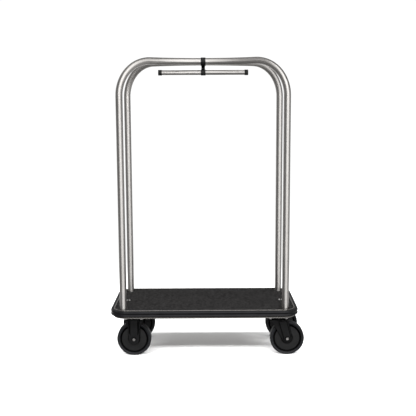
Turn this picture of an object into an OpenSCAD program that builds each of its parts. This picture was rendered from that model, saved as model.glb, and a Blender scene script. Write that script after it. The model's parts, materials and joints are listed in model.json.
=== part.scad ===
// Hotel luggage cart: a carpeted deck on two fixed and two swivel casters, two bent tube
// arches that bow together at the top, and a garment rail hung from them.
// Millimetres. Origin on the floor under the centre of the deck, +X towards the swivel
// end, +Y towards the rear long side, +Z up.

/* [Deck] */
// Length of the deck over its edge trim
deck_l = 1056; // [1044:2:1160]
// Depth of the deck over its edge trim
deck_w = 522; // [512:2:580]
// Plan radius of the edge trim at the deck corners
corner_r = 76; // [50:1:90]
// Height of the carpet surface above the floor
deck_h = 290; // [286:1:310]
// Thickness of the carpet
carpet_t = 8; // [5:1:9]
// Thickness of the plywood board
board_t = 18; // [15:1:20]
// Height of the edge trim section
trim_h = 48; // [46:1:52]
// How far the bumper stands out from the edge trim
bumper_out = 18; // [16:1:24]

/* [Arches] */
// Outside diameter of the arch tube
tube_d = 40; // [32:1:42]
// Wall thickness of the arch and rail tubes
tube_wall = 1.5; // [1.2:0.1:2.5]
// Half the distance between the uprights along the deck
upright_x = 470; // [465:1:474]
// Half the distance between the uprights across the deck
upright_y = 211; // [205:1:215]
// Height of the arch tube centreline at the top
arch_h = 1711; // [1600:1:1800]
// Centreline radius of the two corner bends of each arch
bend_r = 200; // [150:5:240]
// Half the distance between the two arch tubes at mid length
arch_gap_y = 24; // [23:0.5:30]

/* [Garment rail] */
// Outside diameter of the garment rail
rail_d = 28; // [22:1:30]
// Overall length of the garment rail with its end caps
rail_l = 526; // [300:2:560]
// Drop from the arch tube centreline to the garment rail centreline
rail_drop = 61.5; // [58:0.5:90]
// Width of the two clamp bands around the tubes
band_w = 27; // [24:1:36]

/* [Casters] */
// Diameter of the wheels
wheel_d = 200; // [196:1:200]
// Width of the wheels
wheel_w = 48; // [40:1:48]
// Overall height of a caster, floor to plate top
caster_h = 235; // [235:1:240]
// Distance of every caster centre from the long centreline
caster_y = 158; // [157:1:159]
// Position of the fixed casters from the deck centre
fixed_x = 414; // [410:1:418]
// Position of the swivel kingpins from the deck centre
swivel_x = 432; // [428:1:434]
// Offset of the swivel wheel axle from its kingpin
trail = 54; // [48:1:55]

/* [Hidden] */
$fn = 64;

// Sides of the cart, used as multipliers of Y and X
FRONT = -1;
REAR = 1;
FIXED_END = -1;
SWIVEL_END = 1;

// Fits
fit_gap = 0.05;      // running fit, radial
axle_gap = 0.1;      // axle in its leg holes and sleeve
loose_gap = 0.5;     // clearance holes and pockets
cut = 1;             // how far a cutter runs past the face it cuts

// Fasteners: radius, hex radius across corners, head height, nut height
m6_r = 3;
m6_hex_r = 5.8;
m6_nut_h = 5;
m6_washer_t = 1.5;
m6_button_h = 3.2;
m10_r = 5;
m10_hex_r = 9.8;
m10_head_h = 6.4;
m10_nut_h = 7;
axle_r = 5;
axle_hex_r = 8.6;
axle_head_h = 6;
axle_nut_h = 10;
axle_flange_r = 11;
axle_flange_h = 2;

// Deck layers, from the caster plate up
plate_t = 5;
pad_t = 5;
z_pad = caster_h;
z_rail = z_pad + pad_t;
z_board = deck_h - carpet_t - board_t;
z_carpet = z_board + board_t;
frame_h = z_board - z_rail;

// Edge trim section, x outwards from the outer face of its web
trim_t = 2.5;
trim_lip_w = 7;
trim_lip_h = 3;
trim_flange_w = 10;
z_trim_top = deck_h + trim_lip_h;
z_trim = z_trim_top - trim_h;
slot_depth = 8;                  // depth of the pocket that holds the bumper root
slot_h = 22;
slot_mouth = 7;
z_slot = z_carpet - slot_h;

// Bumper section
bumper_h = 35;
z_bumper = deck_h + 1 - bumper_h;
upper_lobe_r = 9.5;
lower_lobe_r = 7.5;
groove_depth = 3;

// Underframe channels
rail_t = 3;
end_rail_w = 60;
frame_inset = slot_depth + trim_flange_w + 1;
long_rail_w = 30;
cross_rail_w = 40;
screw_xs = [-300, -110, 110, 300];
screw_r = 2;
screw_head_r = 4;
screw_head_h = 2.5;
screw_l = 15;

// Two dome-head bolts through the deck at each end
deck_bolt_y = -17;
deck_bolt_xs = [455, 471];
dome_r = 6.5;
dome_h = 3.6;
deck_bolt_tail = 10;

// Arches: the corner bends lie in vertical planes turned inwards by arch_turn, and one
// horizontal arc of radius sweep_r, tangent to both bends, passes over the deck
tube_r = tube_d / 2;
arch_turn = 2 * atan((upright_y - arch_gap_y) / (upright_x + bend_r));
sweep_r = (upright_x - bend_r * cos(arch_turn)) / sin(arch_turn);
plug_r = tube_r - tube_wall - fit_gap;
plug_h = 30;
foot_washer_r = 10.5;
foot_washer_t = 2;

// Clamp bands
rail_h = arch_h - rail_drop;
band_t = 3;
clamp_gap = 0.3;                 // the tubes curve a little inside the band's width
tab_w = 21;
z_tab_screw = (arch_h - tube_r + rail_h + rail_d / 2) / 2 - 1;
tab_gap = 0.2;
tab_overlap = 8;                 // how far the tabs reach past the screw
clamp_bore_l = 60;
rail_r = rail_d / 2;
cap_r = rail_r + 2.25;
cap_l = 21;
cap_end_t = 3;

// Caster plate and its bolts
plate_l = 115;
plate_w = 105;
bolt_dx = 46;
bolt_dy = 41.5;

// Caster legs
wheel_r = wheel_d / 2;
leg_t = 4;
leg_in = wheel_w / 2 + 3;
leg_out = leg_in + leg_t;
panel_t = 4;
leg_face = leg_out + panel_t;
leg_bend_r = 9;
panel_drop = 12;                 // from the crown's top to the raised panels
boss_r = 30;
fork_boss_r = 27;
z_fork = caster_h - 19;          // top of the fork crown
fork_t = 5;

// Swivel head
kingpin_r = 8;
kingpin_head_r = 14;
kingpin_head_h = 4.5;
head_gap = 0.3;
race_r = 37;
race_skirt_r = 40;
race_pitch_r = 30;
ball_r = 3.5;
ball_gap = 0.1;
ball_count = 16;
z_ball = z_fork + 8.1;
race_gap = 0.5;
race_bore_r = 20;
skirt_drop = 5;

// Wheel
tyre_in_r = 78;
tyre_shoulder_r = 6;
core_face = wheel_w / 2 - 3;
rim_groove_w = 4.5;
rim_groove_depth = 8;
hub_r = 30;
hub_face = leg_in - 2;
bearing_r = 21;
bearing_w = 12;
sleeve_r = 10;
core_bore_r = 12.5;

// ---------- helpers ----------

// Plan outline with round corners
module rounded_rect(l, w, r) {
    square([l - 2 * r, w], center = true);
    square([l, w - 2 * r], center = true);
    for (x = [-1, 1], y = [-1, 1])
        translate([x * (l / 2 - r), y * (w / 2 - r)]) circle(r);
}

// A rectangle given by its lower and upper corners
module box2(x0, y0, x1, y1) {
    translate([x0, y0]) square([x1 - x0, y1 - y0]);
}

// Runs the 2D section (x outwards, y up) round the deck edge
module deck_edge_ring() {
    straight_x = deck_l - 2 * corner_r;
    straight_y = deck_w - 2 * corner_r;
    for (turn = [0, 180]) {
        rotate(turn) translate([deck_l / 2, 0, 0]) rotate([90, 0, 0])
            linear_extrude(straight_y, center = true) children();
        rotate(turn + 90) translate([deck_w / 2, 0, 0]) rotate([90, 0, 0])
            linear_extrude(straight_x, center = true) children();
    }
    for (x = [-1, 1], y = [-1, 1])
        translate([x * straight_x / 2, y * straight_y / 2, 0])
            rotate(x > 0 ? (y > 0 ? 0 : 270) : (y > 0 ? 90 : 180))
                rotate_extrude(angle = 90, $fn = 96) translate([corner_r, 0]) children();
}

// Channel open at the bottom, running along X from 0
module channel(l, w, h) {
    difference() {
        translate([0, -w / 2, 0]) cube([l, w, h]);
        translate([-cut, -w / 2 + rail_t, -cut]) cube([l + 2 * cut, w - 2 * rail_t, h - rail_t + cut]);
    }
}

// Flat ring
module washer(inner_r, outer_r, h) {
    difference() {
        cylinder(r = outer_r, h = h);
        translate([0, 0, -cut]) cylinder(r = inner_r, h = h + 2 * cut);
    }
}

// Hex nut on the plane z = 0
module hex_nut(inner_r, hex_r, h) {
    difference() {
        cylinder(r = hex_r, h = h, $fn = 6);
        translate([0, 0, -cut]) cylinder(r = inner_r, h = h + 2 * cut);
    }
}

// Hex bolt: the shank rises from z = 0 and the head hangs below
module hex_bolt(shank_r, hex_r, head_h, length) {
    translate([0, 0, -head_h]) cylinder(r = hex_r, h = head_h, $fn = 6);
    cylinder(r = shank_r, h = length);
}

// Low dome on the plane z = 0
module dome(r, h) {
    ball = (r * r + h * h) / (2 * h);
    rotate_extrude() intersection() {
        translate([0, h - ball]) circle(ball);
        square([r, h]);
    }
}

module at_feet() {
    for (x = [-1, 1], y = [-1, 1])
        translate([x * upright_x, y * upright_y, 0]) children();
}

module at_deck_bolts() {
    for (x = deck_bolt_xs, end = [FIXED_END, SWIVEL_END])
        translate([end * x, deck_bolt_y, 0]) children();
}

module at_board_screws() {
    for (x = screw_xs, y = [-1, 1])
        translate([x, y * caster_y, 0]) children();
}

module at_plate_bolts() {
    for (x = [-1, 1], y = [-1, 1])
        translate([x * bolt_dx, y * bolt_dy, 0]) children();
}

// Centres of the four caster plates
module at_casters() {
    for (x = [-fixed_x, swivel_x], y = [FRONT, REAR])
        translate([x, y * caster_y, 0]) children();
}

// ---------- deck ----------

module rails_and_pads() {
    for (x = [-1, 1])
        translate([x * upright_x, -deck_w / 2, z_rail])
            rotate(90) channel(deck_w, end_rail_w, frame_h);
    for (y = [-1, 1])
        translate([end_rail_w / 2 - upright_x, y * caster_y, z_rail])
            channel(2 * upright_x - end_rail_w, long_rail_w, frame_h);
    translate([0, -caster_y + long_rail_w / 2, z_rail])
        rotate(90) channel(2 * caster_y - long_rail_w, cross_rail_w, frame_h);
    at_casters() translate([-plate_l / 2, -plate_w / 2, z_pad])
        cube([plate_l, plate_w, pad_t]);
}

// The rails, cut to the deck's outline inside the edge trim, with all bolt holes
module underframe() {
    color("dimgray") difference() {
        intersection() {
            rails_and_pads();
            translate([0, 0, z_pad]) linear_extrude(pad_t + frame_h)
                rounded_rect(deck_l - 2 * frame_inset, deck_w - 2 * frame_inset, corner_r - frame_inset);
        }
        at_feet() translate([0, 0, z_rail]) cylinder(r = m10_r + loose_gap, h = frame_h + cut);
        at_deck_bolts() translate([0, 0, z_rail]) cylinder(r = m6_r + loose_gap, h = frame_h + cut);
        at_board_screws() translate([0, 0, z_rail]) cylinder(r = screw_r + fit_gap, h = frame_h + cut);
        at_casters() at_plate_bolts() translate([0, 0, z_pad - cut])
            cylinder(r = m10_r + loose_gap, h = pad_t + 2 * cut);
    }
}

module deck_board() {
    inset = slot_depth + loose_gap;
    color("burlywood") difference() {
        translate([0, 0, z_board]) linear_extrude(board_t)
            rounded_rect(deck_l - 2 * inset, deck_w - 2 * inset, corner_r - inset);
        at_feet() translate([0, 0, z_board - cut]) cylinder(r = tube_r + loose_gap, h = board_t + 2 * cut);
        at_deck_bolts() translate([0, 0, z_board - cut]) cylinder(r = m6_r + loose_gap, h = board_t + 2 * cut);
        at_board_screws() translate([0, 0, z_board - cut]) cylinder(r = screw_r + fit_gap, h = screw_l + cut);
    }
}

module deck_carpet() {
    inset = trim_lip_w + loose_gap;
    color([0.16, 0.16, 0.16]) difference() {
        translate([0, 0, z_carpet]) linear_extrude(carpet_t)
            rounded_rect(deck_l - 2 * inset, deck_w - 2 * inset, corner_r - inset);
        at_feet() translate([0, 0, z_carpet - cut]) cylinder(r = tube_r + loose_gap, h = carpet_t + 2 * cut);
        at_deck_bolts() translate([0, 0, z_carpet - cut]) cylinder(r = dome_r + loose_gap, h = carpet_t + 2 * cut);
    }
}

// Web, flange under the board, pocket for the bumper root, and a round-edged lip with an
// inner leg that the carpet butts against
module trim_section() {
    bead_r = trim_lip_h / 2;
    z_mouth = z_slot + slot_h / 2;
    box2(-trim_t, z_trim, 0, z_mouth - slot_mouth / 2);
    box2(-trim_t, z_mouth + slot_mouth / 2, 0, deck_h + bead_r);
    box2(-slot_depth, z_slot, 0, z_slot + trim_t);
    box2(-slot_depth, z_slot + slot_h - trim_t, 0, z_slot + slot_h);
    box2(-slot_depth, z_slot, trim_t - slot_depth, z_slot + slot_h);
    box2(-slot_depth - trim_flange_w, z_board - trim_t, trim_t - slot_depth, z_board);
    box2(bead_r - trim_lip_w, deck_h, -bead_r, z_trim_top);
    box2(-trim_lip_w, z_carpet, trim_t - trim_lip_w, deck_h + bead_r);
    for (x = [bead_r - trim_lip_w, -bead_r])
        translate([x, deck_h + bead_r]) circle(bead_r, $fn = 32);
}

module edge_trim() {
    color("silver") deck_edge_ring() trim_section();
}

// Two rounded lobes with a shallow groove between, and the root that locks in the trim
module bumper_section() {
    z_mouth = z_slot + slot_h / 2;
    root_h = slot_h - 2 * trim_t - 2 * loose_gap;
    neck_h = slot_mouth - 2 * loose_gap;
    root_out = -trim_t - loose_gap / 2;
    root_in = trim_t - slot_depth + loose_gap / 2;
    box2(0, z_bumper, bumper_out - lower_lobe_r, z_bumper + 2 * lower_lobe_r);
    box2(0, z_bumper + lower_lobe_r, bumper_out - upper_lobe_r, z_bumper + bumper_h);
    box2(0, z_bumper + lower_lobe_r, bumper_out - groove_depth, z_bumper + bumper_h - upper_lobe_r);
    intersection() {
        union() {
            translate([bumper_out - upper_lobe_r, z_bumper + bumper_h - upper_lobe_r]) circle(upper_lobe_r);
            translate([bumper_out - lower_lobe_r, z_bumper + lower_lobe_r]) circle(lower_lobe_r);
        }
        box2(0, z_bumper, bumper_out, z_bumper + bumper_h);
    }
    box2(root_out, z_mouth - neck_h / 2, 0, z_mouth + neck_h / 2);
    box2(root_in, z_mouth - root_h / 2, root_out, z_mouth + root_h / 2);
}

module bumper() {
    color([0.1, 0.1, 0.1]) deck_edge_ring() bumper_section();
}

// Shoulder bolts: the domed head goes down through the carpet and bears on the board
module deck_bolts() {
    length = deck_h - (z_board - rail_t) + deck_bolt_tail;
    color("gainsboro") at_deck_bolts() translate([0, 0, deck_h]) {
        dome(dome_r, dome_h);
        translate([0, 0, -carpet_t]) cylinder(r = dome_r, h = carpet_t);
        translate([0, 0, -length]) cylinder(r = m6_r, h = length);
    }
}

module deck_washers() {
    color("silver") at_deck_bolts()
        translate([0, 0, z_board - rail_t - m6_washer_t])
            washer(m6_r + fit_gap, m6_hex_r + 1, m6_washer_t);
}

module deck_nuts() {
    color("silver") at_deck_bolts()
        translate([0, 0, z_board - rail_t - m6_washer_t - m6_nut_h])
            hex_nut(m6_r + fit_gap, m6_hex_r, m6_nut_h);
}

module board_screws() {
    z_head = z_board - rail_t;
    color("silver") at_board_screws() {
        translate([0, 0, z_head - screw_head_h]) cylinder(r = screw_head_r, h = screw_head_h);
        translate([0, 0, z_head]) cylinder(r = screw_r, h = rail_t + screw_l - cut);
    }
}

// ---------- arches ----------

module tube_ring(r) {
    difference() {
        circle(r);
        circle(r - tube_wall);
    }
}

// One upright, its corner bend and a little over half of the sweep over the deck. The
// origin is where bend and sweep meet, and +X points from there towards the upright.
module arch_limb() {
    straight = arch_h - bend_r - z_board;
    overlap = 2;
    translate([bend_r, 0, -bend_r - straight]) linear_extrude(straight) tube_ring(tube_r);
    translate([0, 0, -bend_r]) rotate([90, 0, 0])
        rotate_extrude(angle = 90, $fn = 96) translate([bend_r, 0]) tube_ring(tube_r);
    translate([0, sweep_r, 0]) mirror([1, 0, 0]) rotate(-90)
        rotate_extrude(angle = arch_turn + overlap, $fn = 180) translate([sweep_r, 0]) tube_ring(tube_r);
}

// The +X half of the rear arch, cut off square on the centre plane
module half_arch() {
    meet_x = sweep_r * sin(arch_turn);
    meet_y = arch_gap_y + sweep_r * (1 - cos(arch_turn));
    intersection() {
        translate([meet_x, meet_y, arch_h]) rotate(arch_turn) arch_limb();
        cube([deck_l, deck_w, 2 * arch_h]);
    }
}

// The rear arch, uprights at +Y
module arch() {
    half_arch();
    mirror([1, 0, 0]) half_arch();
}

module front_arch() {
    color("silver") mirror([0, 1, 0]) arch();
}

module rear_arch() {
    color("silver") arch();
}

module foot_plugs() {
    color("gray") at_feet() translate([0, 0, z_board]) difference() {
        cylinder(r = plug_r, h = plug_h);
        translate([0, 0, -cut]) cylinder(r = m10_r + fit_gap, h = plug_h + 2 * cut);
    }
}

module foot_bolts() {
    z_head = z_board - rail_t - foot_washer_t;
    color("silver") at_feet() translate([0, 0, z_head])
        hex_bolt(m10_r, m10_hex_r, m10_head_h, foot_washer_t + rail_t + plug_h - 4);
}

module foot_washers() {
    color("silver") at_feet() translate([0, 0, z_board - rail_t - foot_washer_t])
        washer(m10_r + fit_gap, foot_washer_r, foot_washer_t);
}

// ---------- garment rail and its clamp ----------

// Puts a section drawn in Y (x) and Z (y) across the cart, w wide along X
module across(w) {
    rotate([90, 0, 90]) linear_extrude(w, center = true) children();
}

// Outline round both arch tubes
module arch_pair_outline(r) {
    translate([-arch_gap_y, arch_h - r]) square([2 * arch_gap_y, 2 * r]);
    for (y = [-1, 1]) translate([y * arch_gap_y, arch_h]) circle(r);
}

// Band round both arch tubes with two tabs hanging down
module arch_clamp() {
    in_r = tube_r + clamp_gap;
    tab_in = band_t + 2 * tab_gap;
    z_band = arch_h - in_r - band_t;
    z_tab = z_tab_screw - tab_overlap;
    color([0.12, 0.12, 0.12]) difference() {
        union() {
            across(band_w) difference() {
                arch_pair_outline(in_r + band_t);
                arch_pair_outline(in_r);
                translate([-tab_in, z_band - cut]) square([2 * tab_in, band_t + 2 * cut]);
            }
            for (y = [-1, 1])
                across(tab_w) translate([y * (tab_in + band_t / 2) - band_t / 2, z_tab])
                    square([band_t, z_band + band_t - z_tab]);
        }
        translate([0, 0, z_tab_screw]) rotate([90, 0, 0])
            cylinder(r = m6_r + fit_gap, h = clamp_bore_l, center = true);
    }
}

// Band round the garment rail with two tabs standing up between the others
module rail_clamp() {
    in_r = rail_r + fit_gap;
    z_top = arch_h - tube_r - band_t - 2;
    z_join = rail_h + sqrt(pow(in_r + band_t, 2) - pow(band_t + tab_gap, 2)) - 1;
    color([0.12, 0.12, 0.12]) difference() {
        union() {
            across(band_w) difference() {
                translate([0, rail_h]) circle(in_r + band_t);
                translate([0, rail_h]) circle(in_r);
                translate([-tab_gap, rail_h]) square([2 * tab_gap, in_r + band_t + cut]);
            }
            for (y = [-1, 1])
                across(tab_w) translate([y * (tab_gap + band_t / 2) - band_t / 2, z_join])
                    square([band_t, z_top - z_join]);
        }
        translate([0, 0, z_tab_screw]) rotate([90, 0, 0])
            cylinder(r = m6_r + fit_gap, h = clamp_bore_l, center = true);
    }
}

// Button-head screw through the four tabs, head to the front
module clamp_screw() {
    tab_face = 2 * band_t + 2 * tab_gap;
    length = 2 * tab_face + m6_nut_h + 2;
    color([0.1, 0.1, 0.1]) translate([0, -tab_face, z_tab_screw]) rotate([90, 0, 0]) {
        dome(m6_hex_r, m6_button_h);
        translate([0, 0, -length]) cylinder(r = m6_r, h = length);
    }
}

module clamp_nut() {
    tab_face = 2 * band_t + 2 * tab_gap;
    color([0.1, 0.1, 0.1]) translate([0, tab_face, z_tab_screw]) rotate([-90, 0, 0])
        hex_nut(m6_r + fit_gap, m6_hex_r, m6_nut_h);
}

module hanging_rail() {
    color("silver") translate([0, 0, rail_h]) rotate([0, 90, 0])
        linear_extrude(rail_l - 2 * cap_end_t, center = true) tube_ring(rail_r);
}

// Sleeve cap that closes the +X end of the rail
module rail_cap() {
    bead = 2;
    color([0.08, 0.08, 0.08]) translate([rail_l / 2 - cap_l, 0, rail_h]) rotate([0, 90, 0])
        rotate_extrude() difference() {
            union() {
                box2(0, 0, cap_r, cap_l - bead);
                box2(0, 0, cap_r - bead, cap_l);
                translate([cap_r - bead, cap_l - bead]) circle(bead, $fn = 32);
            }
            box2(-cut, -cut, rail_r, cap_l - cap_end_t);
        }
}

module rail_cap_right() {
    rail_cap();
}

module rail_cap_left() {
    mirror([1, 0, 0]) rail_cap();
}

// ---------- casters ----------

module caster_bolts() {
    z_head = z_pad - plate_t;
    color("silver") at_casters() at_plate_bolts() translate([0, 0, z_head])
        hex_bolt(m10_r, m10_hex_r, m10_head_h, plate_t + pad_t + m10_nut_h + 3);
}

module caster_nuts() {
    color("silver") at_casters() at_plate_bolts() translate([0, 0, z_rail])
        hex_nut(m10_r + fit_gap, m10_hex_r, m10_nut_h);
}

// Top plate with its four bolt holes, plate top at caster height
module top_plate() {
    difference() {
        translate([-plate_l / 2, -plate_w / 2, caster_h - plate_t]) cube([plate_l, plate_w, plate_t]);
        at_plate_bolts() translate([0, 0, caster_h - plate_t - cut])
            cylinder(r = m10_r + loose_gap, h = plate_t + 2 * cut);
    }
}

// Section of a pressed U bracket in Y (x) and Z (y), open at the bottom
module u_section(top, crown_t) {
    difference() {
        u_outline(leg_out, top, leg_bend_r);
        u_outline(leg_in, top - crown_t, leg_bend_r - leg_t);
    }
}

module u_outline(half_w, top, r) {
    box2(-half_w, -cut, half_w, top - r);
    box2(r - half_w, -cut, half_w - r, top);
    for (y = [-1, 1]) translate([y * (half_w - r), top - r]) circle(r);
}

// Both legs' raised panels, from a 2D outline in X and Z
module leg_panels() {
    for (y = [-1, 1])
        translate([0, y * (leg_out + panel_t / 2), 0]) rotate([90, 0, 0])
            linear_extrude(panel_t, center = true) children();
}

module axle_hole(x) {
    translate([x, 0, wheel_r]) rotate([90, 0, 0])
        cylinder(r = axle_r + axle_gap, h = 2 * leg_face + 2 * cut, center = true);
}

// Leg outline of the fixed bracket, seen from the side
module fixed_leg_outline() {
    top = caster_h - plate_t;
    polygon([
        [-56, top], [56, top], [50, top - 22], [41, top - 40], [33, top - 65], [boss_r, wheel_r],
        [-boss_r, wheel_r], [-33, top - 65], [-41, top - 40], [-50, top - 22]
    ]);
    translate([0, wheel_r]) circle(boss_r);
}

// The whole leg stands raised apart from a tapering valley on each side of its middle
module fixed_panel_outline() {
    top = caster_h - plate_t - panel_drop;
    difference() {
        intersection() {
            fixed_leg_outline();
            box2(-plate_l / 2, 0, plate_l / 2, top);
        }
        for (side = [0, 1])
            mirror([side, 0]) polygon([
                [21, top + cut], [35, top + cut], [27, wheel_r + 36], [21, wheel_r + 24]
            ]);
    }
}

module fixed_bracket() {
    color([0.13, 0.13, 0.13]) difference() {
        union() {
            top_plate();
            intersection() {
                rotate([90, 0, 90]) linear_extrude(plate_l, center = true)
                    u_section(caster_h - plate_t, fork_t);
                rotate([90, 0, 0]) linear_extrude(plate_w, center = true) fixed_leg_outline();
            }
            leg_panels() fixed_panel_outline();
        }
        axle_hole(0);
    }
}

// Leg outline of the swivel fork, kingpin at x = 0, axle at x = trail
module fork_leg_outline() {
    polygon([
        [-57, z_fork], [58, z_fork], [64, z_fork - 30], [trail + fork_boss_r, wheel_r],
        [trail, wheel_r - 5], [trail - 22.5, wheel_r - 15], [-27, z_fork - 28], [-45, z_fork - 12]
    ]);
    translate([trail, wheel_r]) circle(fork_boss_r);
}

module fork_panel_outline() {
    polygon([
        [6, z_fork - panel_drop], [48, z_fork - panel_drop], [trail + 18, wheel_r + 6],
        [trail, wheel_r - 10], [trail - 18, wheel_r + 2]
    ]);
    translate([trail, wheel_r]) circle(19);
}

// Fork with the lower ball race on its crown
module swivel_fork() {
    color([0.11, 0.11, 0.11]) difference() {
        union() {
            intersection() {
                translate([trail / 2, 0, 0]) rotate([90, 0, 90]) linear_extrude(2 * wheel_r, center = true)
                    u_section(z_fork, fork_t);
                rotate([90, 0, 0]) linear_extrude(plate_w, center = true) fork_leg_outline();
            }
            translate([0, 0, z_fork - cut]) cylinder(r = race_r, h = z_ball - race_gap - z_fork + cut, $fn = 96);
            leg_panels() fork_panel_outline();
        }
        cylinder(r = kingpin_r + fit_gap, h = caster_h);
        ball_groove();
        axle_hole(trail);
    }
}

// Ring cut that half holds the balls
module ball_groove() {
    translate([0, 0, z_ball]) rotate_extrude($fn = 96)
        translate([race_pitch_r, 0]) circle(ball_r + ball_gap, $fn = 32);
}

// Plate with the upper ball race and its skirt
module swivel_plate() {
    z_plate = caster_h - plate_t;
    color([0.13, 0.13, 0.13]) difference() {
        union() {
            top_plate();
            translate([0, 0, z_ball + race_gap]) cylinder(r = race_skirt_r, h = z_plate - z_ball - race_gap, $fn = 96);
            translate([0, 0, z_ball - skirt_drop]) washer(race_r + 1, race_skirt_r, skirt_drop + 1, $fn = 96);
        }
        translate([0, 0, z_ball - cut]) cylinder(r = race_bore_r, h = z_plate - z_ball + cut);
        translate([0, 0, z_plate - cut]) cylinder(r = kingpin_r, h = plate_t + 2 * cut);
        ball_groove();
    }
}

module kingpin() {
    z_head = z_fork - fork_t - head_gap;
    color("gray") {
        translate([0, 0, z_head - kingpin_head_h]) cylinder(r = kingpin_head_r, h = kingpin_head_h);
        translate([0, 0, z_head - cut]) cylinder(r = kingpin_r, h = caster_h - z_head + cut);
    }
}

module swivel_balls() {
    color("silver") for (i = [0 : ball_count - 1])
        rotate(i * 360 / ball_count) translate([race_pitch_r, 0, z_ball]) sphere(ball_r, $fn = 24);
}

// Wheel axis along Y at the origin of the caster; the bolt head faces -Y
module axle() {
    length = 2 * leg_face + axle_nut_h + 2;
    color("silver") translate([0, -leg_face, wheel_r]) rotate([-90, 0, 0])
        hex_bolt(axle_r, axle_hex_r, axle_head_h, length);
}

module axle_nut() {
    color("silver") translate([0, leg_face, wheel_r]) rotate([-90, 0, 0]) difference() {
        union() {
            cylinder(r = axle_flange_r, h = axle_flange_h);
            cylinder(r = axle_hex_r, h = axle_nut_h, $fn = 6);
        }
        translate([0, 0, -cut]) cylinder(r = axle_r + fit_gap, h = axle_nut_h + 2 * cut);
    }
}

module sleeve() {
    color("silver") translate([0, -leg_in, wheel_r]) rotate([-90, 0, 0])
        washer(axle_r + axle_gap, sleeve_r, 2 * leg_in);
}

// Turns a wheel section (x radius, y width) about the axle
module wheel_turn() {
    translate([0, 0, wheel_r]) rotate([90, 0, 0]) rotate_extrude($fn = 128) children();
}

module tyre() {
    half_w = wheel_w / 2;
    inner_r = tyre_in_r;
    color([0.1, 0.1, 0.1]) wheel_turn() {
        box2(inner_r, -half_w, wheel_r - tyre_shoulder_r, half_w);
        box2(inner_r, tyre_shoulder_r - half_w, wheel_r, half_w - tyre_shoulder_r);
        for (y = [-1, 1])
            translate([wheel_r - tyre_shoulder_r, y * (half_w - tyre_shoulder_r)])
                circle(tyre_shoulder_r, $fn = 32);
    }
}

// Moulded core: flat web with a groove between it and the tyre on each face, and a hub
// with two bearing pockets
module wheel_core() {
    groove_floor = core_face - rim_groove_depth;
    color([0.14, 0.14, 0.14]) wheel_turn() difference() {
        union() {
            box2(core_bore_r, -core_face, tyre_in_r - rim_groove_w, core_face);
            box2(core_bore_r, -groove_floor, tyre_in_r, groove_floor);
            box2(core_bore_r, -hub_face, hub_r, hub_face);
        }
        for (y = [-1, 1])
            translate([0, y * hub_face]) square([2 * bearing_r, 2 * bearing_w], center = true);
    }
}

module bearings() {
    color("silver") wheel_turn() for (y = [-1, 1])
        translate([(sleeve_r + fit_gap + bearing_r) / 2, y * (hub_face - bearing_w / 2)])
            square([bearing_r - sleeve_r - fit_gap, bearing_w], center = true);
}

// Placing: side is FRONT or REAR, and the rear casters mirror the front ones
module at_side(side) {
    translate([0, side * caster_y, 0]) mirror([0, side > 0 ? 1 : 0, 0]) children();
}

module at_fixed(side) {
    translate([-fixed_x, 0, 0]) at_side(side) children();
}

module at_kingpin(side) {
    translate([swivel_x, 0, 0]) at_side(side) children();
}

module at_swivel_axle(side) {
    translate([swivel_x + trail, 0, 0]) at_side(side) children();
}

module fixed_axle_nuts() {
    for (side = [FRONT, REAR]) at_fixed(side) axle_nut();
}

underframe();
deck_board();
deck_carpet();
edge_trim();
bumper();
deck_bolts();
deck_washers();
deck_nuts();
board_screws();
front_arch();
rear_arch();
foot_plugs();
foot_bolts();
foot_washers();
arch_clamp();
rail_clamp();
clamp_screw();
clamp_nut();
hanging_rail();
rail_cap_left();
rail_cap_right();
caster_bolts();
caster_nuts();
at_fixed(FRONT) fixed_bracket();  // fixed_bracket_front
at_fixed(REAR) fixed_bracket();  // fixed_bracket_rear
at_fixed(FRONT) axle();  // fixed_axle_front
at_fixed(REAR) axle();  // fixed_axle_rear
at_fixed(FRONT) sleeve();  // fixed_sleeve_front
at_fixed(REAR) sleeve();  // fixed_sleeve_rear
fixed_axle_nuts();
at_kingpin(FRONT) swivel_plate();  // swivel_plate_front
at_kingpin(REAR) swivel_plate();  // swivel_plate_rear
at_kingpin(FRONT) kingpin();  // kingpin_front
at_kingpin(REAR) kingpin();  // kingpin_rear
at_kingpin(FRONT) swivel_fork();  // swivel_fork_front
at_kingpin(REAR) swivel_fork();  // swivel_fork_rear
at_kingpin(FRONT) swivel_balls();  // swivel_balls_front
at_kingpin(REAR) swivel_balls();  // swivel_balls_rear
at_swivel_axle(FRONT) axle();  // swivel_axle_front
at_swivel_axle(REAR) axle();  // swivel_axle_rear
at_swivel_axle(FRONT) sleeve();  // swivel_sleeve_front
at_swivel_axle(REAR) sleeve();  // swivel_sleeve_rear
at_swivel_axle(FRONT) axle_nut();  // swivel_axle_nut_front
at_swivel_axle(REAR) axle_nut();  // swivel_axle_nut_rear
at_fixed(FRONT) tyre();  // fixed_tyre_front
at_fixed(FRONT) wheel_core();  // fixed_core_front
at_fixed(FRONT) bearings();  // fixed_bearings_front
at_fixed(REAR) tyre();  // fixed_tyre_rear
at_fixed(REAR) wheel_core();  // fixed_core_rear
at_fixed(REAR) bearings();  // fixed_bearings_rear
at_swivel_axle(FRONT) tyre();  // swivel_tyre_front
at_swivel_axle(FRONT) wheel_core();  // swivel_core_front
at_swivel_axle(FRONT) bearings();  // swivel_bearings_front
at_swivel_axle(REAR) tyre();  // swivel_tyre_rear
at_swivel_axle(REAR) wheel_core();  // swivel_core_rear
at_swivel_axle(REAR) bearings();  // swivel_bearings_rear
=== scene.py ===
"""Looks of the hotel luggage cart.

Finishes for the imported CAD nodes, a carpet with real pile, and the floor, light and camera round them.
"""

import json
import math

import bpy
from mathutils import Matrix, Vector, noise


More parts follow.
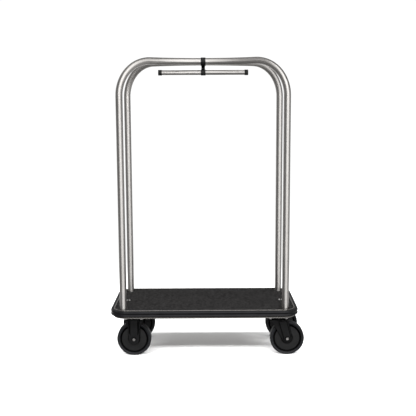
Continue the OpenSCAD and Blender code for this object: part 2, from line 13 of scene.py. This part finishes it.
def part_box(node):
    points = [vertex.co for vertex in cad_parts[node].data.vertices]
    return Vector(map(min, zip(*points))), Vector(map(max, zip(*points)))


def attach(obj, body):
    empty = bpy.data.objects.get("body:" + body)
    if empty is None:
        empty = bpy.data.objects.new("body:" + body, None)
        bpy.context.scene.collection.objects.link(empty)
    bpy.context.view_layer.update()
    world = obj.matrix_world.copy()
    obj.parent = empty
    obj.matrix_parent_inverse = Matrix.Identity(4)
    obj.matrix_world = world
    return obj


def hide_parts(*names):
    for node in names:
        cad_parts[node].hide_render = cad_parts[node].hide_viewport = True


MM = 0.001

# The arches' tube and the radius of their corner bends
TUBE_R = 20 * MM
BEND_R = 200 * MM

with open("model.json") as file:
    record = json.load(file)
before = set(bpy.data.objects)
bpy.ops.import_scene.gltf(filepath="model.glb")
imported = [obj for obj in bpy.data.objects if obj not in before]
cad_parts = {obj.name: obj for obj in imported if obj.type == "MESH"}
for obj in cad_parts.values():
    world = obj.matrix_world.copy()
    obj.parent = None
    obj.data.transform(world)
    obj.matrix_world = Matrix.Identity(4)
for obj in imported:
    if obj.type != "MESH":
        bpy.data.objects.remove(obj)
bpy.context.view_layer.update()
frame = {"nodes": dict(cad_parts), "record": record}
NODES = frame["nodes"]
SLOT_OF = {part["node"]: part["material_slot"] for part in frame["record"]["subparts"]}


# ---------- material tools ----------

# Sockets of the mix node's colour version, which share their names with its other versions
MIX_FIRST = 6
MIX_SECOND = 7
MIX_RESULT = 2

WHITE = (1.0, 1.0, 1.0)


class Graph:
    """A shader node tree being built: short calls for the nodes that finishes and the world use."""

    def __init__(self, tree, coordinates):
        self.tree = tree
        self.place = self.node("ShaderNodeTexCoord").outputs[coordinates]

    def node(self, kind, **settings):
        """Adds a node of a kind, with its settings."""
        made = self.tree.nodes.new(kind)
        for key, value in settings.items():
            setattr(made, key, value)
        return made

    def feed(self, socket, value):
        """Gives an input either another node's output or a plain value."""
        if isinstance(value, bpy.types.NodeSocket):
            self.tree.links.new(value, socket)
        elif isinstance(value, tuple) and len(value) == 3 and len(socket.default_value) == 4:
            socket.default_value = (*value, 1.0)
        else:
            socket.default_value = value

    def stretched(self, scale):
        """Object coordinates scaled by a different amount along each axis."""
        mapping = self.node("ShaderNodeMapping")
        self.feed(mapping.inputs["Vector"], self.place)
        mapping.inputs["Scale"].default_value = scale
        return mapping.outputs["Vector"]

    def noise(self, scale, detail=3.0, roughness=0.5, place=None):
        """Fractal noise: features per metre, layers of finer detail, and how strong those are."""
        made = self.node("ShaderNodeTexNoise")
        self.feed(made.inputs["Vector"], place or self.place)
        made.inputs["Scale"].default_value = scale
        made.inputs["Detail"].default_value = detail
        made.inputs["Roughness"].default_value = roughness
        return made.outputs["Fac"]

    def cells(self, scale):
        """Distance from the middle of each cell of a random pattern, with scale cells per metre."""
        made = self.node("ShaderNodeTexVoronoi")
        self.feed(made.inputs["Vector"], self.place)
        made.inputs["Scale"].default_value = scale
        return made.outputs["Distance"]

    def spread(self, value, low, high, start=0.3, end=0.7):
        """Maps start..end of a value onto low..high, easing in and out."""
        made = self.node("ShaderNodeMapRange", interpolation_type="SMOOTHSTEP")
        self.feed(made.inputs["Value"], value)
        made.inputs["From Min"].default_value = start
        made.inputs["From Max"].default_value = end
        made.inputs["To Min"].default_value = low
        made.inputs["To Max"].default_value = high
        return made.outputs["Result"]

    def mix(self, factor, first, second):
        """Blends two colours."""
        made = self.node("ShaderNodeMix", data_type="RGBA")
        self.feed(made.inputs["Factor"], factor)
        self.feed(made.inputs[MIX_FIRST], first)
        self.feed(made.inputs[MIX_SECOND], second)
        return made.outputs[MIX_RESULT]

    def math(self, operation, first, second=0.0):
        """One arithmetic step on one or two values."""
        made = self.node("ShaderNodeMath", operation=operation)
        self.feed(made.inputs[0], first)
        self.feed(made.inputs[1], second)
        return made.outputs["Value"]

    def grey(self, value):
        """A colour with one value in all three channels."""
        made = self.node("ShaderNodeCombineColor")
        for channel in made.inputs:
            self.feed(channel, value)
        return made.outputs["Color"]

    def window(self, value, start, end, soft):
        """1 between start and end, falling to 0 over the soft distance outside each."""
        rise = self.spread(value, 0.0, 1.0, start=start - soft, end=start)
        fall = self.spread(value, 1.0, 0.0, start=end, end=end + soft)
        return self.math("MULTIPLY", rise, fall)

    def panel(self, level, azimuth, across, elevation, upright):
        """A soft-edged rectangle of light; across and upright are its (start, end, soft) in degrees."""
        wide = self.window(azimuth, *across)
        tall = self.window(elevation, *upright)
        shape = self.math("MULTIPLY", wide, tall)
        return self.math("MULTIPLY", shape, level)

    def split(self, vector):
        """The three components of a vector."""
        parts = self.node("ShaderNodeSeparateXYZ")
        self.feed(parts.inputs["Vector"], vector)
        return parts.outputs["X"], parts.outputs["Y"], parts.outputs["Z"]


class Finish(Graph):
    """A procedural material being built round a Principled surface."""

    def __init__(self, name):
        self.mat = bpy.data.materials.new(name)
        self.mat.use_nodes = True
        super().__init__(self.mat.node_tree, "Object")
        self.bsdf = self.tree.nodes["Principled BSDF"]

    def set(self, **values):
        """Sets inputs of the surface shader, with underscores for the spaces in their names."""
        for key, value in values.items():
            self.feed(self.bsdf.inputs[key.replace("_", " ")], value)

    def bump(self, height, strength, distance, normal=None):
        """Fine relief from a height value, on top of an earlier relief if one is given."""
        made = self.node("ShaderNodeBump")
        made.inputs["Strength"].default_value = strength
        made.inputs["Distance"].default_value = distance
        self.feed(made.inputs["Height"], height)
        if normal is not None:
            self.feed(made.inputs["Normal"], normal)
        self.feed(self.bsdf.inputs["Normal"], made.outputs["Normal"])
        return made.outputs["Normal"]

    def recess(self, reach, start=0.75):
        """About 0 in corners and grooves narrower than the reach, and 1 on open faces; the mask for painted
        shade.
        """
        shade = self.node("ShaderNodeAmbientOcclusion", samples=8)
        shade.inputs["Distance"].default_value = reach
        return self.spread(shade.outputs["AO"], 0.0, 1.0, start=start, end=0.98)

    def edges(self, radius):
        """About 1 along the part's sharp edges and 0 on its faces."""
        rounded = self.node("ShaderNodeBevel", samples=4)
        rounded.inputs["Radius"].default_value = radius
        flat = self.node("ShaderNodeNewGeometry").outputs["True Normal"]
        dot = self.node("ShaderNodeVectorMath", operation="DOT_PRODUCT")
        self.feed(dot.inputs[0], rounded.outputs["Normal"])
        self.feed(dot.inputs[1], flat)
        return self.spread(dot.outputs["Value"], 1.0, 0.0, start=0.80, end=0.98)


# ---------- finishes ----------

# Black painted shade for corners, grooves and recesses, where little light reaches
PAINTED_SHADE = (0.0012, 0.0012, 0.0012)

# Grinding marks per metre, along a tube and round it
MARKS_ALONG = 700.0
MARKS_ROUND = 20.0


def tube_axis(f, x, lean):
    """Direction of the arch tube's axis: up the posts, round the bends and inward along the top."""
    inward = f.math("MULTIPLY", f.math("SIGN", x), -1.0)
    rise = f.math("SQRT", f.math("SUBTRACT", 1.0, f.math("MULTIPLY", lean, lean)))
    axis = f.node("ShaderNodeCombineXYZ")
    f.feed(axis.inputs["X"], f.math("MULTIPLY", inward, lean))
    f.feed(axis.inputs["Z"], rise)
    return axis.outputs["Vector"]


def tube_grain(f, lean):
    """Fine marks that run round the tube, on the posts and on the level part."""
    round_posts = f.noise(1.0, 3.0, 0.6, f.stretched((MARKS_ROUND, MARKS_ROUND, MARKS_ALONG)))
    round_top = f.noise(1.0, 3.0, 0.6, f.stretched((MARKS_ALONG, MARKS_ROUND, MARKS_ROUND)))
    level = f.spread(lean, 0.0, 1.0, start=0.55, end=0.85)
    on_posts = f.math("MULTIPLY", round_posts, f.math("SUBTRACT", 1.0, level))
    on_top = f.math("MULTIPLY", round_top, level)
    return f.math("ADD", on_posts, on_top)


def tube_finish():
    """Satin stainless tube, ground round its girth: highlights stretch along the tube."""
    f = Finish("brushed_stainless")
    x, _, z = f.split(f.place)
    _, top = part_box("front_arch")
    bend_start = top.z - TUBE_R - BEND_R
    climb = f.node("ShaderNodeClamp")
    f.feed(climb.inputs["Value"], f.math("DIVIDE", f.math("SUBTRACT", z, bend_start), BEND_R))
    lean = climb.outputs["Result"]
    grain = tube_grain(f, lean)
    cloud = f.noise(9.0, 4.0)
    dull = (0.575, 0.556, 0.535)
    bright = (0.63, 0.611, 0.590)
    scratched = (0.50, 0.479, 0.459)
    tone = f.mix(f.spread(cloud, 0.0, 1.0), dull, bright)
    f.set(
        Base_Color=f.mix(f.spread(grain, 0.0, 0.25), tone, scratched),
        Metallic=1.0,
        Roughness=f.math("ADD", f.spread(cloud, 0.33, 0.37), f.spread(grain, 0.0, 0.04)),
        Anisotropic=0.8,
        Tangent=tube_axis(f, x, lean),
    )
    f.bump(grain, 0.03, 0.03 * MM)
    return f.mat


def fastener_finish(name, dull, bright):
    """Plated steel with faint turning marks and a dull bloom."""
    f = Finish(name)
    bloom = f.noise(160.0, 4.0, 0.6)
    f.set(
        Base_Color=f.mix(f.spread(bloom, 0.0, 1.0), dull, bright),
        Metallic=1.0,
        Roughness=f.spread(bloom, 0.26, 0.44),
    )
    f.bump(f.noise(1500.0, 2.0), 0.15, 0.05 * MM)
    return f.mat


def bearing_finish():
    """Ground bearing steel with a thin film of grease."""
    f = Finish("bearing_steel")
    film = f.noise(220.0, 3.0)
    greasy = (0.50, 0.48, 0.44)
    ground = (0.66, 0.66, 0.66)
    f.set(
        Base_Color=f.mix(f.spread(film, 0.0, 1.0), greasy, ground),
        Metallic=1.0,
        Roughness=f.spread(film, 0.14, 0.30),
    )
    f.bump(film, 0.08, 0.05 * MM)
    return f.mat


def trim_finish():
    """Polished aluminium section: long extrusion lines, small handling scratches, and painted shade where
    it lies under the bumper's overhang and in corners.
    """
    f = Finish("polished_aluminium")
    drawn = f.noise(1.0, 2.0, 0.5, f.stretched((12.0, 12.0, 2200.0)))
    scuffs = f.spread(f.noise(90.0, 6.0, 0.7), 0.0, 1.0, start=0.55, end=0.72)
    polished = (0.66, 0.64, 0.62)
    scuffed = (0.52, 0.50, 0.48)
    # Near-black painted shade laid on the trim under the bumper's overhang and in its corners
    painted_trim_shade = (0.10, 0.092, 0.083)
    metal = f.mix(scuffs, polished, scuffed)
    unshaded = f.recess(25.0 * MM, start=0.7)
    f.set(
        Base_Color=f.mix(unshaded, painted_trim_shade, metal),
        Metallic=1.0,
        Roughness=f.math("ADD", f.spread(drawn, 0.20, 0.27), f.math("MULTIPLY", scuffs, 0.12)),
    )
    f.bump(drawn, 0.15, 0.06 * MM)
    return f.mat


def bumper_finish():
    """Black extruded rubber: faint length lines, bloom, and scattered scuffs."""
    f = Finish("bumper_rubber")
    bloom = f.noise(24.0, 5.0, 0.6)
    scuffs = f.spread(f.noise(70.0, 6.0, 0.72), 0.0, 0.7, start=0.60, end=0.74)
    dark = (0.0038, 0.0038, 0.0043)
    light = (0.0068, 0.0068, 0.0076)
    scuffed = (0.014, 0.0136, 0.0133)
    base = f.mix(f.spread(bloom, 0.0, 1.0), dark, light)
    f.set(
        Base_Color=f.mix(scuffs, base, scuffed),
        Specular_IOR_Level=0.22,
        Roughness=f.math("ADD", f.spread(bloom, 0.30, 0.37), f.math("MULTIPLY", scuffs, 0.15)),
    )
    lines = f.noise(1.0, 2.0, 0.5, f.stretched((10.0, 10.0, 1500.0)))
    fine = f.bump(lines, 0.2, 0.08 * MM)
    f.bump(f.noise(1100.0, 2.0), 0.25, 0.05 * MM, fine)
    return f.mat


def carpet_finish():
    """Charcoal needle-felt carpet: dark tufts with lighter fibres, mottled, without shine."""
    f = Finish("needle_felt")
    tufts = f.cells(420.0)
    fibres = f.noise(900.0, 4.0, 0.7)
    mottle = f.noise(85.0, 3.0, 0.65)
    wear = f.noise(5.0, 3.0)
    dark = (0.0030, 0.0029, 0.0029)
    light = (0.0170, 0.0164, 0.0166)
    worn = (0.0125, 0.0118, 0.0116)
    patches = f.spread(mottle, 0.0, 1.0, start=0.41, end=0.59)
    fleck = f.math("MULTIPLY", f.spread(fibres, 0.4, 1.0), patches)
    f.set(
        Base_Color=f.mix(f.spread(wear, 0.0, 0.12), f.mix(fleck, dark, light), worn),
        Roughness=f.spread(fibres, 0.88, 1.0),
        Specular_IOR_Level=0.04,
        Sheen_Weight=0.015,
        Sheen_Roughness=0.6,
        Sheen_Tint=(0.6, 0.58, 0.56),
    )
    fine = f.bump(fibres, 0.6, 0.5 * MM)
    f.bump(tufts, 0.7, 0.8 * MM, fine)
    return f.mat


def board_finish():
    """Birch plywood: grain along the deck."""
    f = Finish("plywood")
    grain = f.noise(1.0, 5.0, 0.6, f.stretched((3.0, 60.0, 600.0)))
    brown = (0.42, 0.28, 0.15)
    honey = (0.58, 0.43, 0.26)
    f.set(
        Base_Color=f.mix(f.spread(grain, 0.0, 1.0), brown, honey),
        Roughness=f.spread(grain, 0.5, 0.68),
    )
    f.bump(grain, 0.3, 0.3 * MM)
    return f.mat


def painted_finish(name, dark, light, roughness, peel_scale):
    """Satin black coating: orange peel, uneven gloss, metal showing faintly at the edges, and painted shade
    in its recesses, black and without reflection.
    """
    f = Finish(name)
    cloud = f.noise(18.0, 4.0)
    patches = f.spread(f.noise(180.0, 5.0, 0.7), 0.0, 1.0, start=0.50, end=0.62)
    chips = f.math("MULTIPLY", f.edges(0.8 * MM), patches)
    base = f.mix(f.spread(cloud, 0.0, 1.0), dark, light)
    bare_metal = (0.09, 0.087, 0.084)
    worn = f.mix(f.math("MULTIPLY", chips, 0.35), base, bare_metal)
    # Painted shade: recesses turn black and lose their reflection
    unshaded = f.recess(20.0 * MM)
    f.set(
        Base_Color=f.mix(unshaded, PAINTED_SHADE, worn),
        Roughness=f.spread(cloud, roughness - 0.05, roughness + 0.06),
        Specular_IOR_Level=f.math("MULTIPLY", unshaded, 0.18),
    )
    f.bump(f.noise(peel_scale, 2.0), 0.18, 0.12 * MM)
    return f.mat


def tyre_finish():
    """Dark grey rubber tread, dusty and slightly bluish."""
    f = Finish("tyre_rubber")
    dust = f.noise(45.0, 6.0, 0.68)
    clear = (0.0062, 0.0064, 0.0074)
    dusty = (0.0110, 0.0113, 0.0130)
    base = f.mix(f.spread(dust, 0.0, 1.0), clear, dusty)
    # Painted shade: grooves and corners of the tyre turn black and lose their reflection
    unshaded = f.recess(6.0 * MM)
    f.set(
        Base_Color=f.mix(unshaded, PAINTED_SHADE, base),
        Roughness=f.spread(dust, 0.42, 0.62),
        Specular_IOR_Level=f.math("MULTIPLY", unshaded, 0.3),
    )
    fine = f.bump(f.noise(260.0, 4.0, 0.6), 0.25, 0.2 * MM)
    f.bump(f.noise(1400.0, 2.0), 0.2, 0.05 * MM, fine)
    return f.mat


def moulded_finish(name, dark, light, roughness):
    """Moulded plastic: fine spark-eroded grain with soft gloss changes, and painted shade in its grooves
    and recesses.
    """
    f = Finish(name)
    flow = f.noise(30.0, 4.0)
    # Painted shade: grooves and recesses turn black and lose their reflection
    unshaded = f.recess(10.0 * MM)
    f.set(
        Base_Color=f.mix(unshaded, PAINTED_SHADE, f.mix(f.spread(flow, 0.0, 1.0), dark, light)),
        Roughness=f.spread(flow, roughness - 0.05, roughness + 0.07),
        Specular_IOR_Level=f.math("MULTIPLY", unshaded, 0.25),
    )
    f.bump(f.noise(1300.0, 3.0, 0.6), 0.35, 0.06 * MM)
    return f.mat


FINISHES = {
    "tube": tube_finish(),
    "fastener": fastener_finish("zinc_plate", dull=(0.26, 0.25, 0.245), bright=(0.42, 0.41, 0.40)),
    "bearing": bearing_finish(),
    "trim": trim_finish(),
    "bumper": bumper_finish(),
    "carpet": carpet_finish(),
    "board": board_finish(),
    "frame_paint": painted_finish(
        "frame_powder_coat", dark=(0.0060, 0.0060, 0.0060), light=(0.0095, 0.0095, 0.0095),
        roughness=0.45, peel_scale=700.0,
    ),
    "caster": painted_finish(
        "caster_lacquer", dark=(0.0028, 0.0028, 0.0030), light=(0.0046, 0.0046, 0.0050),
        roughness=0.40, peel_scale=500.0,
    ),
    "clamp": painted_finish(
        "clamp_powder_coat", dark=(0.0045, 0.0045, 0.0045), light=(0.0075, 0.0075, 0.0075),
        roughness=0.42, peel_scale=800.0,
    ),
    "tyre": tyre_finish(),
    "core": moulded_finish(
        "wheel_core_plastic", dark=(0.0056, 0.0056, 0.0058), light=(0.0086, 0.0086, 0.0089), roughness=0.42,
    ),
    "cap": moulded_finish(
        "cap_plastic", dark=(0.0045, 0.0045, 0.0045), light=(0.0080, 0.0080, 0.0080), roughness=0.38,
    ),
}

# Nodes with a finish of their own in place of their slot's
OWN_FINISH = {
    "deck_bolts": fastener_finish("bright_plate", dull=(0.78, 0.76, 0.74), bright=(0.92, 0.91, 0.90)),
}


# ---------- CAD nodes ----------

# Edge rounding in millimetres for each material slot; the rest keep their CAD edges
ROUNDING = {
    "caster": 0.8,
    "clamp": 0.5,
    "fastener": 0.35,
    "core": 0.5,
    "frame_paint": 0.6,
    "trim": 0.25,
    "board": 0.5,
}
ROUNDED_FROM = math.radians(32)
WELD_REACH = 0.005 * MM


def dress(name):
    """Gives a CAD node its finish, rounds its hard edges a little and smooths its shading."""
    part = NODES[name]
    slot = SLOT_OF[name]
    part.data.materials.clear()
    part.data.materials.append(OWN_FINISH.get(name, FINISHES[slot]))
    for face in part.data.polygons:
        face.use_smooth = True
    weld = part.modifiers.new("weld", "WELD")
    weld.merge_threshold = WELD_REACH
    if slot in ROUNDING:
        rounding = part.modifiers.new("rounding", "BEVEL")
        rounding.width = ROUNDING[slot] * MM
        rounding.segments = 2
        rounding.limit_method = "ANGLE"
        rounding.angle_limit = ROUNDED_FROM
        rounding.use_clamp_overlap = True
    shading = part.modifiers.new("shading", "WEIGHTED_NORMAL")
    shading.weight = 80
    shading.keep_sharp = True


for node_name in sorted(NODES):
    dress(node_name)


# ---------- carpet ----------

# Size of the mesh's grid, of one tuft, of a clump of tufts and of the sheet's slow waves
PILE_GRID = 4.0 * MM
TUFT_SIZE = 1.4 * PILE_GRID
CLUMP_SIZE = 9.0 * MM
WAVE_SIZE = 90 * MM

# Relief of the tufts, shared between tuft and clump, and of the waves
PILE_DEPTH = 0.55 * MM
TUFT_SHARE = 0.6
CLUMP_SHARE = 0.4
WAVE_DEPTH = 0.35 * MM


def remeshed(source, name, voxel):
    """A new object with the source's shape rebuilt as an even grid."""
    copy = bpy.data.objects.new(name, source.data.copy())
    bpy.context.scene.collection.objects.link(copy)
    grid = copy.modifiers.new("grid", "REMESH")
    grid.mode = "VOXEL"
    grid.voxel_size = voxel
    even = copy.evaluated_get(bpy.context.evaluated_depsgraph_get())
    mesh = bpy.data.meshes.new_from_object(even)
    copy.modifiers.clear()
    copy.data = mesh
    return copy


def pile_height(point):
    """How far a tuft stands above or below the carpet's mean surface."""
    tuft = noise.noise(point / TUFT_SIZE)
    clump = noise.noise(point / CLUMP_SIZE)
    wave = noise.noise(point / WAVE_SIZE)
    return PILE_DEPTH * (TUFT_SHARE * tuft + CLUMP_SHARE * clump) + WAVE_DEPTH * wave


def build_carpet():
    """The deck carpet with real tufts on its top face, in place of the plain CAD slab."""
    source = NODES["deck_carpet"]
    _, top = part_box("deck_carpet")
    carpet = remeshed(source, "carpet_pile", PILE_GRID)
    carpet.data.materials.clear()
    carpet.data.materials.append(FINISHES["carpet"])
    facing_up = [vertex.index for vertex in carpet.data.vertices if vertex.normal.z > 0.5]
    for vertex in (carpet.data.vertices[index] for index in facing_up):
        vertex.co.z = min(vertex.co.z + pile_height(vertex.co), top.z + PILE_DEPTH)
    for face in carpet.data.polygons:
        face.use_smooth = True
    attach(carpet, "chassis")
    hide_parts("deck_carpet")


build_carpet()


# ---------- floor, light and camera ----------

FLOOR_RADIUS = 3.0

# Brightness of the white backdrop, just above full white
PAPER_WHITE = 1.05

# Where the floor starts to melt into the backdrop and where it has, as parts of its radius
MELT_START = 0.4
MELT_END = 0.9


def build_floor():
    """Pale floor with the cart's soft shadow, melting into the white backdrop further out."""
    bpy.ops.mesh.primitive_circle_add(vertices=96, radius=FLOOR_RADIUS, fill_type="NGON")
    floor = bpy.context.object
    floor.name = "studio_floor"
    floor.visible_glossy = False
    floor.visible_diffuse = False
    f = Finish("studio_floor")
    cloud = f.noise(3.0, 4.0)
    pale = (0.86, 0.86, 0.86)
    paler = (0.89, 0.89, 0.89)
    f.set(
        Base_Color=f.mix(f.spread(cloud, 0.0, 1.0), pale, paler),
        Roughness=0.8,
        Specular_IOR_Level=0.0,
        Emission_Color=WHITE,
        Emission_Strength=0.12,
    )
    length = f.node("ShaderNodeVectorMath", operation="LENGTH")
    f.feed(length.inputs[0], f.place)
    away = f.spread(
        length.outputs["Value"], 0.0, 1.0,
        start=MELT_START * FLOOR_RADIUS, end=MELT_END * FLOOR_RADIUS,
    )
    glow = f.node("ShaderNodeEmission")
    f.feed(glow.inputs["Color"], WHITE)
    glow.inputs["Strength"].default_value = PAPER_WHITE
    blend = f.node("ShaderNodeMixShader")
    factor, near, far = blend.inputs
    f.feed(factor, away)
    f.feed(near, f.bsdf.outputs["BSDF"])
    f.feed(far, glow.outputs["Emission"])
    f.feed(f.tree.nodes["Material Output"].inputs["Surface"], blend.outputs["Shader"])
    floor.data.materials.append(f.mat)


# Both softboxes are this wide and face this point, low in the middle of the cart
BOX_WIDTH = 9.0
BOX_TARGET = Vector((0.0, 0.0, 0.1))


def softbox(name, place, height, power):
    """A long rectangular area light that faces the cart and is kept out of reflections."""
    light = bpy.data.lights.new(name, "AREA")
    light.shape = "RECTANGLE"
    light.size = BOX_WIDTH
    light.size_y = height
    light.energy = power
    lamp = bpy.data.objects.new(name, light)
    lamp.location = place
    lamp.rotation_euler = (BOX_TARGET - Vector(place)).to_track_quat("-Z", "Y").to_euler()
    lamp.visible_glossy = False
    bpy.context.scene.collection.objects.link(lamp)


def build_light():
    """Two wide softboxes, one high in front of the cart and one overhead."""
    softbox("front_box", place=(0.0, -2.95, 3.1), height=0.6, power=480.0)
    softbox("top_box", place=(0.0, 0.55, 3.4), height=0.5, power=230.0)


# What reflections see. Azimuth is 0 at the camera and grows to the right, and elevation is 0 at the
# horizon, both in degrees. A panel is its strength, then (start, end, soft edge) of its azimuth and of
# its elevation.
ROOM_GLOW = 0.22
CEILING_GLOW = 0.25
KEY_PANEL = (2.0, (2.0, 32.0, 42.0), (-5.0, 72.0, 15.0))
RIGHT_PANEL = (0.3, (60.0, 110.0, 20.0), (-50.0, -12.0, 10.0))
REAR_LEFT_PANEL = (0.5, (-142.0, -130.0, 12.0), (-20.0, 50.0, 15.0))

# The same on both sides of straight behind: its azimuth counts both ways
BEHIND_PANEL = (0.7, (155.0, 181.0, 25.0), (-30.0, -8.0, 10.0))

# What diffuse surfaces see: the floor's bounce below the horizon and the dome above it
BOUNCE_GLOW = 0.08
DOME_GLOW = 0.65


def reflected_studio(g, azimuth, elevation):
    """Brightness of the studio in reflections: a dim room, soft panels and a paler ceiling."""
    seen = ROOM_GLOW
    for strength, across, upright in (KEY_PANEL, RIGHT_PANEL, REAR_LEFT_PANEL):
        seen = g.math("ADD", seen, g.panel(strength, azimuth, across, elevation, upright))
    strength, across, upright = BEHIND_PANEL
    either_way = g.math("ABSOLUTE", azimuth)
    seen = g.math("ADD", seen, g.panel(strength, either_way, across, elevation, upright))
    return g.math("ADD", seen, g.spread(elevation, 0.0, CEILING_GLOW, start=66.0, end=84.0))


def build_world():
    """The studio as each kind of ray sees it: white paper, an even dome, or panels in reflections."""
    world = bpy.data.worlds.new("studio")
    bpy.context.scene.world = world
    world.use_nodes = True
    # Without importance sampling every ray meets the world by itself, so the ray kinds below hold
    world.cycles.sampling_method = "NONE"
    world.node_tree.nodes.clear()
    g = Graph(world.node_tree, "Generated")
    x, y, z = g.split(g.place)
    azimuth = g.math("DEGREES", g.math("ARCTAN2", x, g.math("MULTIPLY", y, -1.0)))
    elevation = g.math("DEGREES", g.math("ARCSINE", z))
    seen = reflected_studio(g, azimuth, elevation)
    dome = g.spread(elevation, BOUNCE_GLOW, DOME_GLOW, start=-8.0, end=8.0)
    path = g.node("ShaderNodeLightPath")
    level = g.mix(path.outputs["Is Glossy Ray"], g.grey(dome), g.grey(seen))
    level = g.mix(path.outputs["Is Camera Ray"], level, (PAPER_WHITE, PAPER_WHITE, PAPER_WHITE))
    sky = g.node("ShaderNodeBackground")
    g.feed(sky.inputs["Color"], level)
    out = g.node("ShaderNodeOutputWorld")
    g.feed(out.inputs["Surface"], sky.outputs["Background"])


# The camera, in metres and degrees: it looks along +Y, turned right by its yaw and down by its pitch
CAMERA_PLACE = (0.01305, -4.2144, 1.42407)
CAMERA_YAW = math.radians(0.154)
CAMERA_PITCH = math.radians(7.752)
CAMERA_ROLL = math.radians(-0.271)
CAMERA_LENS = 61.37
CAMERA_SENSOR = 36.0


def build_camera():
    """Eye-height camera square on to the cart, tilted down a little."""
    camera = bpy.data.cameras.new("camera")
    camera.sensor_width = CAMERA_SENSOR
    camera.lens = CAMERA_LENS
    turn = Matrix.Rotation(-CAMERA_YAW, 4, "Z")
    tilt = Matrix.Rotation(math.pi / 2 - CAMERA_PITCH, 4, "X")
    roll = Matrix.Rotation(CAMERA_ROLL, 4, "Z")
    view = turn @ tilt @ roll
    holder = bpy.data.objects.new("camera", camera)
    holder.matrix_world = Matrix.Translation(CAMERA_PLACE) @ view
    bpy.context.scene.collection.objects.link(holder)
    bpy.context.scene.camera = holder


build_floor()
build_light()
build_world()
build_camera()
bpy.context.scene.view_settings.view_transform = "Standard"
